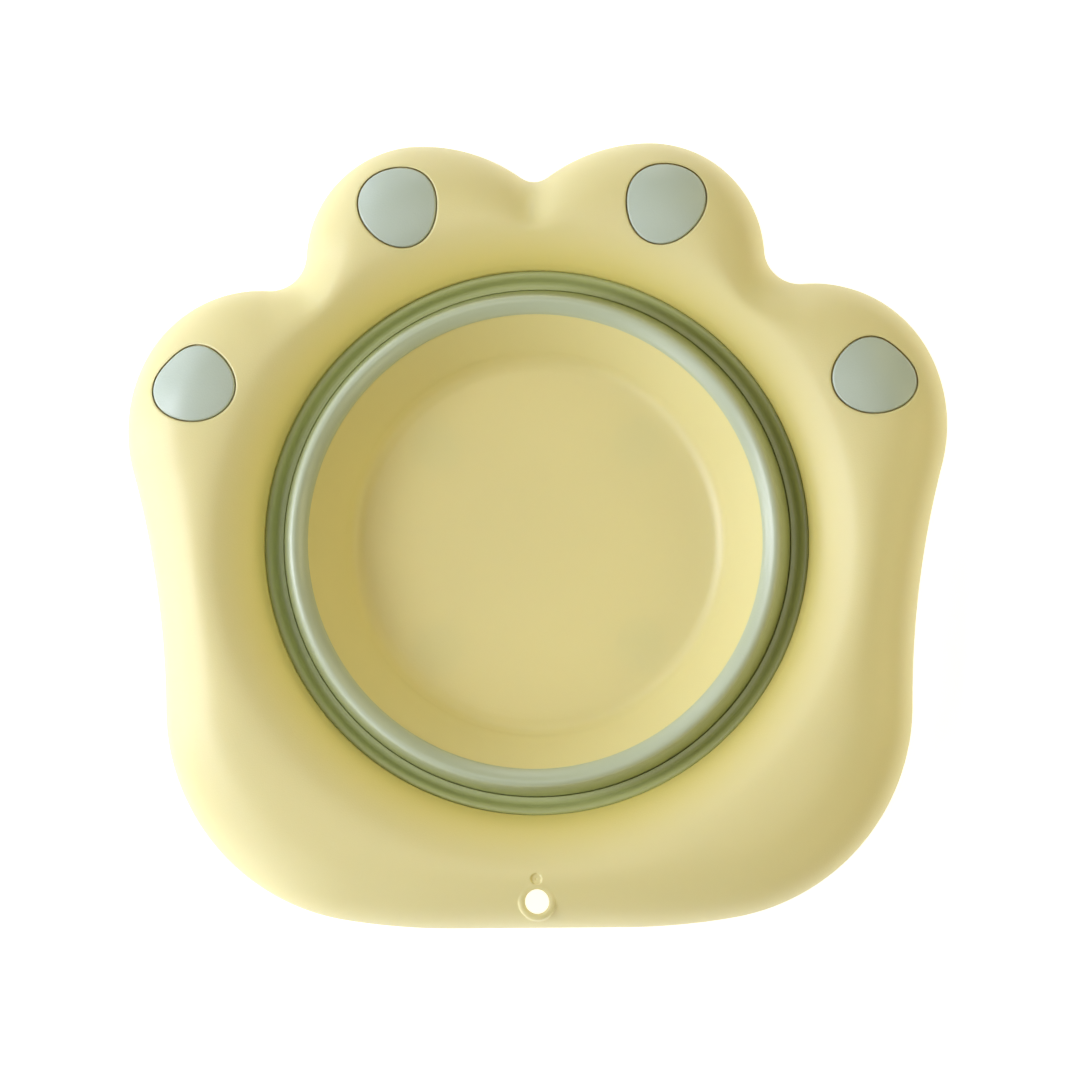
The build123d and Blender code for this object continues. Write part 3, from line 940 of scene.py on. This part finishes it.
# ------------------------------------------------------------------ studio
def plain(name, color, rough=0.9, emit=None):
    mat = bpy.data.materials.new(name)
    mat.use_nodes = True
    b = mat.node_tree.nodes["Principled BSDF"]
    b.inputs["Base Color"].default_value = (*color, 1)
    b.inputs["Roughness"].default_value = rough
    if emit:
        b.inputs["Emission Color"].default_value = (0.93, 0.93, 1.0, 1)
        b.inputs["Emission Strength"].default_value = emit
    return mat


floor_me = bpy.data.meshes.new("floor")
S = 6.0
floor_me.from_pydata([(-S, -S, -0.0002), (S, -S, -0.0002), (S, S, -0.0002), (-S, S, -0.0002)], [], [(0, 1, 2, 3)])
floor = bpy.data.objects.new("floor", floor_me)
bpy.context.scene.collection.objects.link(floor)
floor_me.materials.append(plain("floor", (0.93, 0.93, 0.93), emit=0.72))


def softbox(name, azimuth, elevation, power, color=(1, 1, 1), size=0.9, away=2.2):
    """Round soft light aimed at the tub; azimuth counter-clockwise from +X."""
    li = bpy.data.lights.new(name, "AREA")
    li.shape = "DISK"
    li.size = size
    li.energy = power
    li.color = color
    ob = bpy.data.objects.new(name, li)
    bpy.context.scene.collection.objects.link(ob)
    a, e = math.radians(azimuth), math.radians(elevation)
    d = Vector((math.cos(a) * math.cos(e), math.sin(a) * math.cos(e), math.sin(e)))
    ob.location = d * away
    ob.rotation_euler = (-d).to_track_quat("-Z", "Y").to_euler()
    return ob


COOL, WARM, PLAIN = (0.96, 1.0, 1.10), (1.0, 0.90, 0.52), (1.0, 1.0, 1.0)
GAIN = 1.08
LIGHTS = [
    (180, 7, 10, COOL), (180, 24, 7, COOL), (180, 43, 17, COOL), (225, 8, 7, COOL), (225, 35, 5, COOL), (135, 8, 4.5, COOL), (135, 35, 3, COOL),
    (0, 90, 3.6, PLAIN), (0, 30, 7, WARM), (315, 35, 4.5, WARM), (45, 35, 4, WARM), (45, 58, 2.5, WARM), (90, 15, 4, PLAIN),
]
for k, (az, el, power, color) in enumerate(LIGHTS):
    softbox(f"softbox_{k:02d}", az, el, power * GAIN, color)

world = bpy.data.worlds.new("studio")
bpy.context.scene.world = world
world.use_nodes = True
bg = world.node_tree.nodes["Background"]
bg.inputs["Color"].default_value = (1, 1, 1, 1)
bg.inputs["Strength"].default_value = 0.01

cam_data = bpy.data.cameras.new("camera")
cam = bpy.data.objects.new("camera", cam_data)
bpy.context.scene.collection.objects.link(cam)
bpy.context.scene.camera = cam
cam_data.sensor_fit = "HORIZONTAL"
cam_data.sensor_width = 36.0
DIST = 3.0
K = 0.4842e-3                                # metres per pixel at the opening's level
cam_data.lens = 36.0 * DIST / (1080 * K)
cam_data.clip_start, cam_data.clip_end = 0.1, 50
AIM = Vector((0, RING_Y * MM, 0.0296))        # the opening's centre, seen at (535.5, 543)
LEAN_X, LEAN_Y, ROLL = math.radians(3.5), math.radians(3.5), math.radians(0.41)
back = Vector((math.tan(LEAN_X), -math.tan(LEAN_Y), 1)).normalized()
right = Vector((0, 1, 0)).cross(back).normalized()
up = back.cross(right)
right, up = right * math.cos(ROLL) - up * math.sin(ROLL), up * math.cos(ROLL) + right * math.sin(ROLL)
spot = AIM + right * (4.0 * K) + up * (2.2 * K)
cam.matrix_world = Matrix((
    (right.x, up.x, back.x, spot.x + back.x * DIST),
    (right.y, up.y, back.y, spot.y + back.y * DIST),
    (right.z, up.z, back.z, spot.z + back.z * DIST),
    (0, 0, 0, 1),
))

bpy.context.scene.view_settings.view_transform = "Standard"
bpy.context.scene.view_settings.look = "None"
